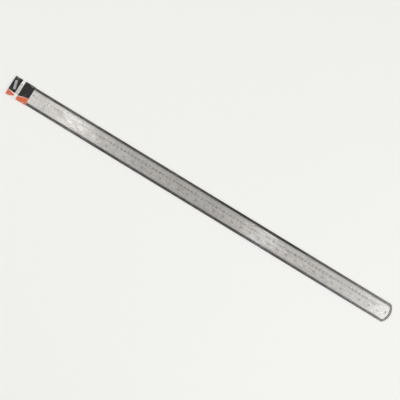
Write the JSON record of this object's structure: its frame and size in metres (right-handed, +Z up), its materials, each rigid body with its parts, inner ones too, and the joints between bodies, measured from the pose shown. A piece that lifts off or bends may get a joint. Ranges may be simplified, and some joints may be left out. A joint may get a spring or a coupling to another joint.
{
  "type": "steel ruler in storage sleeve",
  "caption": "Long flat steel rule with metric and inch edges and a hang hole, which slides out of a flat clear-fronted sleeve with a header card.",
  "frame": {"origin": "on the zero line of both scales, midway across the blade, on the underside of the sleeve", "axes": "+X along the blade from its square zero end to its round end, +Y towards the metric edge, +Z up out of the graduated face"},
  "size_m": [1.071, 0.051, 0.0027],
  "materials": {
    "stainless_steel": "brushed lengthwise, satin",
    "black_pvc": "fine leather grain, soft",
    "clear_film": "clear, glossy, slightly wavy",
    "welded_film": "clear, glossy, ribbed by the weld",
    "printed_card": "printed board, semi-gloss",
    "staple_wire": "bright plated wire"
  },
  "bodies": {
    "sleeve": {"sleeve_back": "black_pvc", "front_film": "clear_film", "film_side_metric": "clear_film", "film_side_inch": "clear_film", "seam_metric": "welded_film", "seam_inch": "welded_film", "seam_end": "welded_film", "header_card": "printed_card", "staples": "staple_wire"},
    "blade": {"blade": "stainless_steel"}
  },
  "joints": [
    {"name": "blade_slide", "type": "slide", "parent": "sleeve", "child": "blade", "axis": [-1, 0, 0], "range_m": [0, 1.07]}
  ]
}
